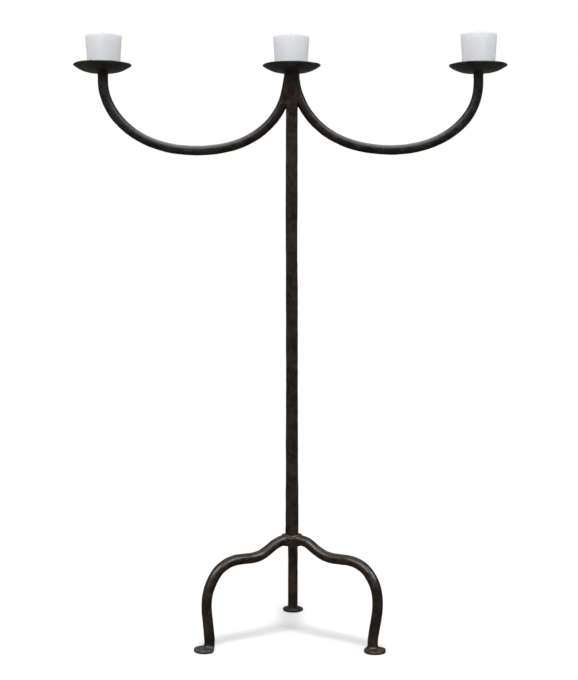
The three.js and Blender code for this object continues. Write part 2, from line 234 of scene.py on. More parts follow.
def spline(points, n):
    """Points spaced evenly along a smooth curve through the given ones."""
    P = np.array(points, float)
    ext = np.vstack([2 * P[0] - P[1], P, 2 * P[-1] - P[-2]])
    out = []
    for i in range(1, len(ext) - 2):
        p0, p1, p2, p3 = ext[i - 1], ext[i], ext[i + 1], ext[i + 2]
        t01, t12, t23 = (max(np.linalg.norm(b - a), 1e-6) ** 0.5 for a, b in ((p0, p1), (p1, p2), (p2, p3)))
        m1 = (p2 - p1) + t12 * ((p1 - p0) / t01 - (p2 - p0) / (t01 + t12))
        m2 = (p2 - p1) + t12 * ((p3 - p2) / t23 - (p3 - p1) / (t12 + t23))
        t = np.linspace(0, 1, 24, endpoint=False)[:, None]
        a = 2 * (p1 - p2) + m1 + m2
        b = -3 * (p1 - p2) - 2 * m1 - m2
        out.append(a * t**3 + b * t**2 + m1 * t + p1)
    D = np.vstack(out + [P[-1:]])
    s = np.r_[0, np.cumsum(np.linalg.norm(np.diff(D, axis=0), axis=1))]
    u = np.linspace(0, s[-1], n)
    return np.stack([np.interp(u, s, D[:, k]) for k in range(D.shape[1])], 1)


class Line:
    """Distance of 2D points to a 2D polyline, with a coarse table of the nearest segment."""

    def __init__(self, points, cell=1.5, pad=34.0):
        self.a, b = points[:-1], points[1:]
        self.ab = b - self.a
        self.L = (self.ab**2).sum(1)
        self.cell = cell
        self.lo = points.min(0) - pad
        self.n = np.ceil((points.max(0) + pad - self.lo) / cell).astype(int) + 1
        gx = self.lo[0] + cell * np.arange(self.n[0])
        gy = self.lo[1] + cell * np.arange(self.n[1])
        self.near = np.zeros(tuple(self.n), np.int32)
        for i, x in enumerate(gx):
            q = np.column_stack([np.full(len(gy), x), gy])
            d = q[:, None, :] - self.a[None]
            t = np.clip((d * self.ab[None]).sum(2) / self.L[None], 0, 1)
            e = d - t[..., None] * self.ab[None]
            self.near[i] = (e**2).sum(2).argmin(1)

    def distance(self, uv):
        ij = np.rint((uv - self.lo) / self.cell).astype(int)
        i = self.near[np.clip(ij[:, 0], 0, self.n[0] - 1), np.clip(ij[:, 1], 0, self.n[1] - 1)]
        best = np.full(len(uv), 1e18)
        for k in (-2, -1, 0, 1, 2):
            j = np.clip(i + k, 0, len(self.a) - 1)
            dx = uv[:, 0] - self.a[j, 0]
            dy = uv[:, 1] - self.a[j, 1]
            ax, ay = self.ab[j, 0], self.ab[j, 1]
            t = np.clip((dx * ax + dy * ay) / self.L[j], 0, 1)
            best = np.minimum(best, (dx - t * ax) ** 2 + (dy - t * ay) ** 2)
        return np.sqrt(best)


ARM_CURVE = {k: spline(v, 150) for k, v in ARM_LINE.items()}
LEG_CURVE = {}
for _k, _v in LEG_LINE.items():
    foot = (_v[0][0] + (0.3 if _k == "left" else -0.6), 9.6)
    c = spline([foot] + list(_v) + [(8.0, 188.4), (0.0, 188.4)], 150)
    c[:, 1] += np.interp(c[:, 0], [a for a, _ in LEG_LIFT[_k]], [b for _, b in LEG_LIFT[_k]]) * smooth01((c[:, 1] - 118) / 18)
    LEG_CURVE[_k] = c


ARM_NEAR = {k: Line(v) for k, v in ARM_CURVE.items()}
LEG_NEAR = {k: Line(v) for k, v in LEG_CURVE.items()}


def arm_radius(x, side):
    t = ARM_SWELL[side]
    return ARM_R + np.interp(x, [a for a, _ in t], [b for _, b in t])


def d_arm(p, side):
    d = ARM_NEAR[side].distance(p[:, [0, 2]])
    return np.sqrt(d**2 + p[:, 1] ** 2) - arm_radius(p[:, 0], side)


def leg_frame(side):
    a = math.radians(LEG_AZ[side])
    return np.array([math.cos(a), math.sin(a)]), np.array([-math.sin(a), math.cos(a)])


def d_bar_local(q, side):
    """q is [out from the stem, across, up]."""
    d = LEG_NEAR[side].distance(q[:, [0, 2]])
    return np.sqrt(d**2 + q[:, 1] ** 2) - LEG_R[side] - LEG_SWELL * smooth01((q[:, 2] - 95) / 45)


def d_leg_local(q, side):
    bar = d_bar_local(q, side)
    du = q[:, 0] - FOOT_REACH[side] - FOOT_SET[side][0]
    dv = q[:, 1] - FOOT_SET[side][1]
    du = np.where(du < 0, du * FOOT_HEEL[side], du)
    r = np.sqrt(du**2 + dv**2)
    ang = np.arctan2(dv, du)
    rf = FOOT_R[side] * (1 + 0.018 * np.sin(2 * ang + LEG_AZ[side]) + 0.012 * np.sin(5 * ang + 1.3 * LEG_AZ[side]))
    top = FOOT_TOP[side] - 1.5 * np.clip(r / rf, 0, 1.3) ** 2 + 0.25 * np.sin(3 * ang + LEG_AZ[side])
    disc = smax(np.maximum(q[:, 2] - top, 0.1 - q[:, 2]), r - rf, 1.5)
    d = smin(bar, disc, 7.0)
    if side == "right":       # a small punch mark near the front edge of this foot
        c = PUNCH - q
        d = smax(d, 2.4 - np.sqrt(c[:, 0] ** 2 + c[:, 1] ** 2 + (c[:, 2] * 0.75) ** 2), 0.9)
    return smax(d, 0.12 - q[:, 2], 0.7)


def d_leg(p, side):
    u, v = leg_frame(side)
    q = np.stack([p[:, 0] * u[0] + p[:, 1] * u[1], p[:, 0] * v[0] + p[:, 1] * v[1], p[:, 2]], 1)
    return d_bar_local(q, side)


def gradient(F, p, e=0.05):
    g = np.zeros_like(p)
    for k in range(3):
        d = np.zeros(3)
        d[k] = e
        g[:, k] = (F(p + d) - F(p - d)) / (2 * e)
    return g


def surface(F, lo, hi, h, shape_noise=None, passes=3):
    """A closed quad mesh of F = 0 inside a box, on a grid of step h: (vertices, quads, normals)."""
    axes = [np.arange(lo[k], hi[k] + h, h) for k in range(3)]
    n = [len(a) for a in axes]
    grid = np.stack(np.meshgrid(*axes, indexing="ij"), -1).reshape(-1, 3)
    V = F(grid).reshape(n)
    V = np.where(np.abs(V) < 1e-9, 1e-9, V)
    S = V < 0
    nx, ny, nz = n[0] - 1, n[1] - 1, n[2] - 1
    acc = np.zeros((nx, ny, nz, 3))
    cnt = np.zeros((nx, ny, nz))
    for axis in range(3):
        a = [slice(None)] * 3
        b = [slice(None)] * 3
        a[axis], b[axis] = slice(0, -1), slice(1, None)
        va, vb = V[tuple(a)], V[tuple(b)]
        cross = (va < 0) != (vb < 0)
        t = np.where(cross, va / np.where(cross, va - vb, 1.0), 0.0)
        others = [k for k in range(3) if k != axis]
        for o1 in (0, 1):
            for o2 in (0, 1):
                sl = [None] * 3
                sl[axis] = slice(0, None)
                sl[others[0]] = slice(o1, n[others[0]] - 1 + o1)
                sl[others[1]] = slice(o2, n[others[1]] - 1 + o2)
                c = cross[tuple(sl)]
                tt = t[tuple(sl)]
                cnt += c
                off = np.zeros(c.shape + (3,))
                off[..., axis] = tt
                off[..., others[0]] = o1
                off[..., others[1]] = o2
                acc += off * c[..., None]
    active = cnt > 0
    index = np.full((nx, ny, nz), -1, np.int64)
    index[active] = np.arange(active.sum())
    cell = np.argwhere(active)
    verts = (cell + acc[active] / cnt[active][:, None]) * h + np.array([axes[k][0] for k in range(3)])
    quads = []
    for axis in range(3):
        a = [slice(None)] * 3
        b = [slice(None)] * 3
        a[axis], b[axis] = slice(0, -1), slice(1, None)
        sa, sb = S[tuple(a)], S[tuple(b)]
        o1, o2 = (axis + 1) % 3, (axis + 2) % 3
        e = np.argwhere(sa != sb)
        ok = (e[:, o1] > 0) & (e[:, o2] > 0) & (e[:, o1] < n[o1] - 1) & (e[:, o2] < n[o2] - 1)
        e = e[ok]
        flip = sa[tuple(e.T)]
        d1 = np.zeros(3, int)
        d2 = np.zeros(3, int)
        d1[o1], d2[o2] = 1, 1
        c00 = index[tuple((e - d1 - d2).T)]
        c10 = index[tuple((e - d2).T)]
        c11 = index[tuple(e.T)]
        c01 = index[tuple((e - d1).T)]
        q = np.stack([c00, c10, c11, c01], 1)
        q[~flip] = q[~flip][:, ::-1]
        quads.append(q)
    quads = np.vstack(quads)
    for _ in range(passes):
        g = gradient(F, verts)
        g2 = np.maximum((g**2).sum(1), 0.05)
        step = np.clip(F(verts) / g2, -0.8 * h, 0.8 * h)
        verts = verts - step[:, None] * g
    g = gradient(F, verts)
    normals = g / np.maximum(np.linalg.norm(g, axis=1), 1e-6)[:, None]
    return verts, quads, normals


# ------------------------------------------------------------------ meshes


def mesh_object(name, verts_row, faces, smooth=True):
    me = bpy.data.meshes.new(name)
    faces = [tuple(int(i) for i in f) for f in faces]
    me.from_pydata([tuple(map(float, v)) for v in verts_row], [], faces)
    me.validate()
    me.polygons.foreach_set("use_smooth", [smooth] * len(me.polygons))
    me.update()
    ob = bpy.data.objects.new(name, me)
    bpy.context.scene.collection.objects.link(ob)
    return ob


def vertex_normals(verts, faces):
    n = np.zeros_like(verts)
    for size in (3, 4):
        F = np.array([f for f in faces if len(f) == size], int)
        if not len(F):
            continue
        a = verts[F[:, 2]] - verts[F[:, 0]]
        b = verts[F[:, -1]] - verts[F[:, 1]] if size == 4 else verts[F[:, 1]] - verts[F[:, 0]]
        c = np.cross(a, b) if size == 4 else np.cross(b, a)
        for k in range(size):
            np.add.at(n, F[:, k], c)
    return n / np.maximum(np.linalg.norm(n, axis=1), 1e-12)[:, None]


def loft(rings, close_start=True, close_end=True):
    """Quads between rings of equal length, with a fan over each end."""
    m = len(rings[0])
    verts = np.vstack(rings)
    faces = []
    for i in range(len(rings) - 1):
        for j in range(m):
            k = (j + 1) % m
            faces.append((i * m + j, i * m + k, (i + 1) * m + k, (i + 1) * m + j))
    extra = []
    if close_start:
        c = len(verts) + len(extra)
        extra.append(rings[0].mean(0))
        faces += [((j + 1) % m, j, c) for j in range(m)]
    if close_end:
        c = len(verts) + len(extra)
        extra.append(rings[-1].mean(0))
        o = (len(rings) - 1) * m
        faces += [(o + j, o + (j + 1) % m, c) for j in range(m)]
    if extra:
        verts = np.vstack([verts, np.array(extra)])
    return verts, faces


def outward(verts, faces):
    """Flips every face when the closed mesh has negative volume."""
    vol = 0.0
    for size in (3, 4):
        F = np.array([f for f in faces if len(f) == size], int)
        if not len(F):
            continue
        for k in range(1, size - 1):
            vol += np.einsum("ij,ij->i", verts[F[:, 0]], np.cross(verts[F[:, k]], verts[F[:, k + 1]])).sum()
    return faces if vol > 0 else [tuple(reversed(f)) for f in faces]


def turned(profile, segments, centres=None):
    """Closed turned mesh about z; profile points are (r, z), its ends on the axis or joined up."""
    closed = profile[0][0] > 1e-6
    verts, faces, ring = [], [], []
    th = np.arange(segments) * 2 * math.pi / segments
    for i, (r, z) in enumerate(profile):
        cx = 0.0 if centres is None else centres[i]
        if r < 1e-6:
            ring.append([len(verts)])
            verts.append((cx, 0.0, z))
        else:
            ring.append(list(range(len(verts), len(verts) + segments)))
            verts += [(cx + r * math.cos(t), r * math.sin(t), z) for t in th]
    pairs = list(zip(ring[:-1], ring[1:]))
    if closed:
        pairs.append((ring[-1], ring[0]))
    for a, b in pairs:
        for j in range(segments):
            k = (j + 1) % segments
            if len(a) == 1 and len(b) == 1:
                continue
            if len(a) == 1:
                faces.append((a[0], b[k], b[j]))
            elif len(b) == 1:
                faces.append((a[j], a[k], b[0]))
            else:
                faces.append((a[j], a[k], b[k], b[j]))
    verts = np.array(verts, float)
    return verts, outward(verts, faces)


def arc(cx, cz, r, a0, a1, n):
    return [(cx + r * math.cos(math.radians(a)), cz + r * math.sin(math.radians(a))) for a in np.linspace(a0, a1, n)]


# ------------------------------------------------------------------ materials


class Nodes:
    """A short way to write a node tree."""

    def __init__(self, name):
        self.mat = bpy.data.materials.new(name)
        self.mat.use_nodes = True
        self.t = self.mat.node_tree
        self.t.nodes.clear()
        self.out = self.add("ShaderNodeOutputMaterial")
        self.coord = self.add("ShaderNodeTexCoord").outputs["Object"]

    def add(self, kind, **props):
        n = self.t.nodes.new(kind)
        for k, v in props.items():
            setattr(n, k, v)
        return n

    def set(self, node, name, value):
        s = node.inputs[name]
        if isinstance(value, bpy.types.NodeSocket):
            self.t.links.new(value, s)
        else:
            s.default_value = value

    def scaled(self, scale):
        n = self.add("ShaderNodeMapping")
        self.set(n, "Vector", self.coord)
        n.inputs["Scale"].default_value = scale
        return n.outputs[0]

    def noise(self, scale, detail=3.0, rough=0.5, vector=None, distortion=0.0):
        n = self.add("ShaderNodeTexNoise")
        self.set(n, "Vector", self.coord if vector is None else vector)
        self.set(n, "Scale", scale)
        self.set(n, "Detail", detail)
        self.set(n, "Roughness", rough)
        self.set(n, "Distortion", distortion)
        return n.outputs["Fac"]

    def voronoi(self, scale, feature="F1", vector=None, rnd=1.0):
        n = self.add("ShaderNodeTexVoronoi", feature=feature)
        self.set(n, "Vector", self.coord if vector is None else vector)
        self.set(n, "Scale", scale)
        self.set(n, "Randomness", rnd)
        return n.outputs["Distance"]

    def ramp(self, fac, stops, interpolation="LINEAR"):
        n = self.add("ShaderNodeValToRGB")
        n.color_ramp.interpolation = interpolation
        self.set(n, "Fac", fac)
        e = n.color_ramp.elements
        while len(e) < len(stops):
            e.new(0.5)
        for el, (pos, col) in zip(e, stops):
            el.position = pos
            el.color = (*col, 1) if len(col) == 3 else col
        return n.outputs["Color"]

    def range(self, value, a, b, c, d):
        n = self.add("ShaderNodeMapRange", clamp=True)
        for k, v in (("Value", value), ("From Min", a), ("From Max", b), ("To Min", c), ("To Max", d)):
            self.set(n, k, v)
        return n.outputs["Result"]

    def math(self, op, a, b=0.0):
        n = self.add("ShaderNodeMath", operation=op)
        for i, v in enumerate((a, b)):
            if isinstance(v, bpy.types.NodeSocket):
                self.t.links.new(v, n.inputs[i])
            else:
                n.inputs[i].default_value = v
        return n.outputs[0]

    def mix(self, fac, a, b, blend="MIX"):
        n = self.add("ShaderNodeMix", data_type="RGBA", blend_type=blend)
        for s, v in ((n.inputs[0], fac), (n.inputs[6], a), (n.inputs[7], b)):
            if isinstance(v, bpy.types.NodeSocket):
                self.t.links.new(v, s)
            else:
                s.default_value = (*v, 1) if isinstance(v, tuple) else v
        return n.outputs[2]

    def bump(self, height, strength, distance, normal=None):
        n = self.add("ShaderNodeBump")
        self.set(n, "Height", height)
        self.set(n, "Strength", strength)
        self.set(n, "Distance", distance)
        if normal is not None:
            self.set(n, "Normal", normal)
        return n.outputs[0]

    def shader(self, **values):
        n = self.add("ShaderNodeBsdfPrincipled")
        for k, v in values.items():
            self.set(n, k.replace("_", " "), v)
        self.t.links.new(n.outputs[0], self.out.inputs[0])
        return n


def forged_iron(name, dark, brown, bright, rough=(0.31, 0.42), feet=False, warm_neck=False):
    """Dark waxed iron: brown and black patches, fine scale, rubbed edges."""
    m = Nodes(name)
    patches = m.noise(24.0, 4.0, 0.6, distortion=0.5)
    mottle = m.noise(95.0, 5.0, 0.62)
    scale = m.noise(420.0, 4.0, 0.6)
    dents = m.voronoi(66.0, "SMOOTH_F1")
    base = m.mix(m.range(patches, 0.42, 0.58, 0.0, 1.0), tuple(c * 0.70 for c in dark), tuple(c * 1.12 for c in brown))
    base = m.mix(m.range(mottle, 0.50, 0.66, 0.0, 0.85), base, tuple(c * 1.25 for c in bright))
    base = m.mix(m.range(mottle, 0.34, 0.46, 0.75, 0.0), base, tuple(c * 0.35 for c in dark))
    base = m.mix(m.range(scale, 0.56, 0.70, 0.0, 0.45), base, tuple(c * 0.5 for c in dark))
    worn = m.add("ShaderNodeNewGeometry").outputs["Pointiness"]
    base = m.mix(m.range(worn, 0.515, 0.56, 0.0, 0.30), base, tuple(min(1.0, c * 2.2) for c in bright))
    r = m.range(mottle, 0.35, 0.7, rough[0], rough[1])
    r = m.math("ADD", r, m.range(scale, 0.4, 0.7, -0.03, 0.06))
    place = m.add("ShaderNodeSeparateXYZ")
    m.set(place, "Vector", m.coord)
    if warm_neck:
        # the arms are browner where the fire of the weld reached them
        near = m.range(m.math("ABSOLUTE", place.outputs["X"]), 0.03, 0.10, 0.75, 0.0)
        base = m.mix(m.math("MULTIPLY", near, m.range(mottle, 0.35, 0.6, 0.4, 1.0)), base, (0.0190, 0.0098, 0.0072))
    if feet:
        # the front feet are lighter on top, partly dust and partly a painted sheen standing in for the light their tops
        # catch from above, the left one grey and the right one brown; the rear foot is darkened almost to black and
        # made rougher
        low = m.range(place.outputs["Z"], 0.0062, 0.0105, 1.0, 0.0)
        front = m.range(place.outputs["Y"], -0.03, 0.03, 1.0, 0.0)
        right = m.range(place.outputs["X"], -0.02, 0.02, 0.0, 1.0)
        dust_and_painted_sheen = m.mix(right, (0.066, 0.066, 0.064), (0.052, 0.026, 0.019))
        amount = m.math("MULTIPLY", m.math("MULTIPLY", low, front), m.range(mottle, 0.32, 0.60, 0.55, 1.0))
        base = m.mix(amount, base, dust_and_painted_sheen)
        back = m.math("MULTIPLY", low, m.math("SUBTRACT", 1.0, front))
        base = m.mix(m.math("MULTIPLY", back, 0.85), base, (0.0025, 0.0020, 0.0016))
        r = m.math("ADD", r, m.math("MULTIPLY", back, 0.30))
    n = m.bump(dents, 0.25, 0.0010)
    n = m.bump(mottle, 0.35, 0.0006, n)
    n = m.bump(scale, 0.40, 0.00025, n)
    m.shader(Base_Color=base, Roughness=r, Normal=n, Specular_IOR_Level=0.38)
    return m.mat


def candle_wax(name):
    m = Nodes(name)
    cloud = m.noise(26.0, 3.0, 0.5)
    fine = m.noise(300.0, 3.0, 0.5)
    base = m.mix(m.range(cloud, 0.35, 0.65, 0.0, 1.0), (0.905, 0.915, 0.955), (0.845, 0.855, 0.895))
    r = m.range(fine, 0.3, 0.7, 0.36, 0.46)
    n = m.bump(cloud, 0.15, 0.0008)
    n = m.bump(fine, 0.08, 0.0002, n)
    m.shader(
        Base_Color=base, Roughness=r, Normal=n, Subsurface_Weight=1.0, Subsurface_Scale=0.014,
        Subsurface_Radius=(1.0, 0.9, 0.8), Specular_IOR_Level=0.45,
    )
    return m.mat


def wick_cotton(name):
    m = Nodes(name)
    fibre = m.noise(1500.0, 4.0, 0.6, vector=m.scaled((1.0, 1.0, 0.25)))
    stain = m.noise(180.0, 2.0, 0.5)
    base = m.mix(m.range(fibre, 0.35, 0.65, 0.0, 1.0), (0.62, 0.58, 0.50), (0.80, 0.77, 0.70))
    base = m.mix(m.range(stain, 0.45, 0.7, 0.0, 0.4), base, (0.50, 0.47, 0.42))
    n = m.bump(fibre, 0.6, 0.0002)
    m.shader(Base_Color=base, Roughness=m.range(fibre, 0.3, 0.7, 0.82, 0.96), Normal=n)
    return m.mat


IRON = forged_iron("forged_iron", (0.0132, 0.0078, 0.0030), (0.0268, 0.0122, 0.0032), (0.0275, 0.0178, 0.0100), feet=True)
ARM_IRON = forged_iron("forged_iron_arms", (0.0115, 0.0108, 0.0100), (0.0185, 0.0150, 0.0122), (0.0260, 0.0232, 0.0208), warm_neck=True)
PAN_IRON = forged_iron("pan_sheet_iron", (0.0280, 0.0262, 0.0222), (0.0385, 0.0350, 0.0295), (0.0455, 0.0430, 0.0390), rough=(0.34, 0.46))
WAX = candle_wax("candle_wax")
COTTON = wick_cotton("wick_cotton")


def finish_piece(ob, body, nodes, material):
    ob.data.materials.clear()
    ob.data.materials.append(material)
    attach(ob, body)
    if nodes:
        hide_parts(*nodes)
    return ob


# ------------------------------------------------------------------ stem


def stem_outline(n_side):
    """The rounded, eased square of half width 1, counter-clockwise, as directions and radii."""
    e = 2.6 / 12
    pts = []
    for q in range(4):
        a = q * math.pi / 2
        c, s = math.cos(a), math.sin(a)
        for v in np.linspace(-1 + e, 1 - e, n_side, endpoint=True):
            pts.append((c * 1 - s * v, s * 1 + c * v))
        for t in (0.33, 0.67):
            x, y = 1 - e * t, 1 - e + e * t
            pts.append((c * x - s * y, s * x + c * y))
    return np.array(pts)


def build_stem():
    outline = stem_outline(9)
    z0, z1 = STEM_BOTTOM - 6, STEM_Z1
    zs = np.arange(z0, z1, 3.0)
    zs = np.r_[zs, z1]
    rings = []
    for z in zs:
        P = outline * float(stem_half(z))
        rings.append(np.column_stack([P, np.full(len(P), z)]))
    verts, faces = loft(rings)
    # pull the outline onto the softened edges
    body = verts.copy()
    for _ in range(3):
        g = gradient(d_stem, body)
        g[:, 2] = 0
        body -= (d_stem(body) / np.maximum((g**2).sum(1), 0.1))[:, None] * g
    keep = np.arange(len(verts)) >= len(verts) - 2
    body[keep] = verts[keep]
    n = gradient(d_stem, body)
    n[:, 2] = 0
    n /= np.maximum(np.linalg.norm(n, axis=1), 1e-6)[:, None]
    n[keep] = 0
    body += n * hammered(body)[:, None]
    # long gentle wander of a bar drawn out by hand
    w = 0.35
    z = body[:, 2]
    body[:, 0] += np.interp(z, [a for a, _ in STEM_BOW], [b for _, b in STEM_BOW])
    body[:, 1] += w * np.sin(z / 97.0 + 2.1) * smooth01((z - 230) / 120) * smooth01((1010 - z) / 90)
    ob = mesh_object("stem_bar", to_row(body), outward(body, faces))
    return finish_piece(ob, "stand", ["stem"], IRON)


# ------------------------------------------------------------------ arms


def build_arm(side):
    step = 1.7
    sides = 36
    length = np.linalg.norm(np.diff(ARM_CURVE[side], axis=0), axis=1).sum()
    line = spline([tuple(p) for p in ARM_CURVE[side][::3]] + [tuple(ARM_CURVE[side][-1])], int(length / step))
    top = STEM_Z1 - 0.05
    line = line[(line[:, 1] < top - 0.8) | (np.arange(len(line)) > len(line) * 0.5)]
    line = np.vstack([[[line[0, 0], top]], line])
    inner = line[:, 1] > top
    line = line[~inner]
    tan = np.gradient(line, axis=0)
    tan /= np.linalg.norm(tan, axis=1)[:, None]
    tan[0] = (0, -1)
    th = np.arange(sides) * 2 * math.pi / sides
    rings = []
    for (x, z), (tx, tz) in zip(line, tan):
        nx, nz = -tz, tx
        rad = float(arm_radius(x, side))
        c, s = rad * np.cos(th), rad * np.sin(th)
        rings.append(np.column_stack([x + nx * c, s, z + nz * c]))
    verts, faces = loft(rings)
    faces = outward(verts, faces)
    n = vertex_normals(verts, faces)
    fade = smooth01((top - verts[:, 2]) / 3.0)
    verts = verts + n * (hammered(verts) * np.where(np.abs(verts[:, 0]) > 200, fade, 1))[:, None]
    ob = mesh_object("arm_%s_bar" % side, to_row(verts), faces)
    return finish_piece(ob, "stand", ["arm_" + side], ARM_IRON)


# ------------------------------------------------------------------ legs


def build_leg(side):
    h = 1.35
    F = lambda q: d_leg_local(q, side)
    v, quads, n = surface(F, (-11.5, -25.0, -1.6), (214.0, 25.0, 202.0), h)
    u, w = leg_frame(side)
    world = np.stack([v[:, 0] * u[0] + v[:, 1] * w[0], v[:, 0] * u[1] + v[:, 1] * w[1], v[:, 2]], 1)
    nw = np.stack([n[:, 0] * u[0] + n[:, 1] * w[0], n[:, 0] * u[1] + n[:, 1] * w[1], n[:, 2]], 1)
    flat = smooth01((v[:, 2] - 0.6) / 3.0)
    world += nw * (hammered(world) * (0.25 + 0.75 * smooth01((v[:, 2] - 6) / 20)) * flat)[:, None]
    world[:, 2] = np.maximum(world[:, 2], 0.05)
    ob = mesh_object("leg_%s_bar" % side, to_row(world), outward(world, [tuple(q) for q in quads]))
    return finish_piece(ob, "stand", ["leg_" + side], IRON)


# ------------------------------------------------------------------ forge welds


def build_neck():
    """The blend where both arms are drawn onto the stem, up to the centre pan."""

    def field(p):
        d = smin(d_arm(p, "left"), d_arm(p, "right"), 3.0)
        d = smin(d, d_stem(p), 1.6 + 3.4 * smooth01((p[:, 2] - 1035) / 18))
        cx, cy = PAN_C["center"]
        seat = np.maximum(np.abs(p[:, 2] - (PAN_Z + 0.9)) - 0.9, np.hypot(p[:, 0] - cx, p[:, 1] - cy) - 20.0)
        d = smin(d, seat, 4.5)
        q = np.sqrt((p[:, 0] / 40.0) ** 2 + ((p[:, 2] - 1048) / 52.0) ** 2)
        sink = -0.10 + 1.9 * smooth01((q - 0.72) / 0.24)
        far = smooth01((np.hypot(p[:, 0] - cx, p[:, 1] - cy) - 15.5) / 3.5) * smooth01((p[:, 2] - (PAN_Z - 2.5)) / 1.5)
        return np.maximum(np.maximum(d + sink + 1.4 * far, (q - 0.99) * 25), p[:, 2] - (PAN_Z + 1.5))

    h = 1.15
    v, quads, n = surface(field, (-42.0, -24.0, 994.0), (42.0, 24.0, 1084.0), h)
    v = v + n * (hammered(v, 0.8) * smooth01((PAN_Z - 1.5 - v[:, 2]) / 4))[:, None]
    ob = mesh_object("neck_forge_weld", to_row(v), outward(v, [tuple(q) for q in quads]))
    return finish_piece(ob, "stand", [], IRON)


def build_hub():
    """The block where the legs and the stem are forged into one, with weld round the foot of the stem."""
    top = STEM_BOTTOM - 0.4

    def field(p):
        d = smin(smin(d_leg(p, "left"), d_leg(p, "right"), 9.0), d_leg(p, "rear"), 7.0)
        ang = np.arctan2(p[:, 1], p[:, 0])
        ripple = 0.25 * np.sin(ang * 15 + 1.5 * np.sin(ang * 3)) + 0.35 * np.sin(ang * 4 + 1.0)
        r = np.hypot(p[:, 0], p[:, 1])
        # the top of the block dips in front of the stem
        crown = top - 2.6 * np.exp(-((p[:, 0] / 9.0) ** 2)) * smooth01((-11.0 - p[:, 1]) / 4.0)
        block = smax(np.maximum(p[:, 2] - crown, 178.5 - p[:, 2]), r - (19.0 + 0.5 * ripple), 2.4)
        d = smin(d, block, 4.0)
        stem = np.maximum(d_stem(p), STEM_BOTTOM - 8 - p[:, 2])
        d = smin(d, stem, 2.4)
        # weld laid over the tops of the legs on both sides of the stem
        for sx, y0, rr in ((-1, -2.0, 3.0), (1, -3.0, 2.9)):
            c = p - np.array([sx * 15.6, y0, top - 0.6])
            bead = np.sqrt(c[:, 0] ** 2 + (np.maximum(np.abs(c[:, 1]) - 8.0, 0)) ** 2 + (c[:, 2] * 1.15) ** 2) - (rr + ripple)
            d = smin(d, bead, 2.6)
        blob = np.linalg.norm((p - np.array([17.4, -4.5, top + 1.2])) * np.array([1, 1, 1.1]), axis=1) - 2.3
        d = smin(d, blob, 1.5)
        q = np.sqrt((r / 38.0) ** 2 + ((p[:, 2] - 194) / 34.0) ** 2)
        sink = -0.10 + 1.9 * smooth01((q - 0.66) / 0.30)
        return np.maximum(d + sink, (q - 0.99) * 22)

    h = 1.0
    v, quads, n = surface(field, (-40.0, -40.0, 158.0), (40.0, 40.0, 230.0), h)
    v = v + n * hammered(v, 0.8)[:, None]
    ob = mesh_object("hub_forge_weld", to_row(v), outward(v, [tuple(q) for q in quads]))
    return finish_piece(ob, "stand", [], IRON)


def build_pan_weld(side):
    """The fillet between an arm's end and the underside of its pan."""
    cx, cy = PAN_C[side]

    def field(p):
        d = d_arm(p, side)
        rr = np.hypot(p[:, 0] - cx, p[:, 1] - cy)
        seat = np.maximum(np.abs(p[:, 2] - (PAN_Z + 0.9)) - 0.9, rr - 17.0)
        d = smin(d, seat, 4.0)
        sink = -0.08 + 1.6 * smooth01((PAN_Z - 7 - p[:, 2]) / 9.0)
        far = smooth01((rr - 12.5) / 3.0) * smooth01((p[:, 2] - (PAN_Z - 2.0)) / 1.2)
        return np.maximum(np.maximum(d + sink + 1.3 * far, PAN_Z - 17 - p[:, 2]), p[:, 2] - (PAN_Z + 1.5))

    h = 0.9
    v, quads, n = surface(field, (cx - 20, cy - 20, PAN_Z - 20), (cx + 20, cy + 20, PAN_Z + 4), h)
    v = v + n * (hammered(v, 0.8) * smooth01((PAN_Z - 1.0 - v[:, 2]) / 3))[:, None]
    ob = mesh_object("pan_%s_weld" % side, to_row(v), outward(v, [tuple(q) for q in quads]))
    return finish_piece(ob, "stand", [], IRON)


# ------------------------------------------------------------------ pans and prickets


def pan_section(n, depth):
    rise = depth - 0.6
    outer, inner = [], []
    for i in range(n + 1):
        s = i / n
        r = PAN_SEAT_R + (PAN_R - PAN_SEAT_R) * s
        z = rise * s**PAN_POWER
        slope = PAN_POWER * rise * s ** (PAN_POWER - 1) / (PAN_R - PAN_SEAT_R)
        k = math.hypot(1, slope)
        outer.append((r, z))
        inner.append((r - PAN_THICK * slope / k, z + PAN_THICK / k))
    return outer, inner


def build_pan(side):
    outer, inner = pan_section(26, PAN_DEPTH[side])
    hole = SHANK_R + 0.3
    # rounded rim between the outer and inner face
    o, i_ = np.array(outer[-1]), np.array(inner[-1])
    mid, half = (o + i_) / 2, np.linalg.norm(i_ - o) / 2
    a0 = math.atan2(o[1] - mid[1], o[0] - mid[0])
    rim = [tuple(mid + half * np.array([math.cos(a0 + t), math.sin(a0 + t)])) for t in np.linspace(0, math.pi, 9)[1:-1]]
    prof = [(hole, 0.0), (7.0, 0.0)] + outer + rim + inner[::-1] + [(7.0, PAN_THICK), (hole, PAN_THICK)]
    seg = 120
    v, f = turned(prof, seg)
    n = vertex_normals(v, f)
    cx, cy = PAN_C[side]
    world = v + np.array([cx, cy, PAN_Z])
    r = np.hypot(v[:, 0], v[:, 1])
    out = smooth01((r - 12) / 14)
    f1, _ = cells(world, 11.0, 9)
    planish = (np.minimum(f1, 0.85) ** 2 - 0.33) * 0.40
    # the same push on both faces, so the sheet keeps its thickness
    up = (0.45 * vnoise(world * np.array([1, 1, 0]), 30.0, 21) + 0.25 * vnoise(world * np.array([1, 1, 0]), 12.0, 22)) * out
    world[:, 2] += up
    grow = 1 + out * 0.006 * vnoise(np.column_stack([v[:, 0], v[:, 1], 0 * r]) / np.maximum(r, 1)[:, None] * 40, 18.0, 23)
    world[:, 0] = cx + (world[:, 0] - cx) * grow
    world[:, 1] = cy + (world[:, 1] - cy) * grow
    world += n * (planish * out)[:, None]
    ob = mesh_object("pan_%s_dish" % side, to_row(world), f)
    return finish_piece(ob, "stand", ["pan_" + side], PAN_IRON)


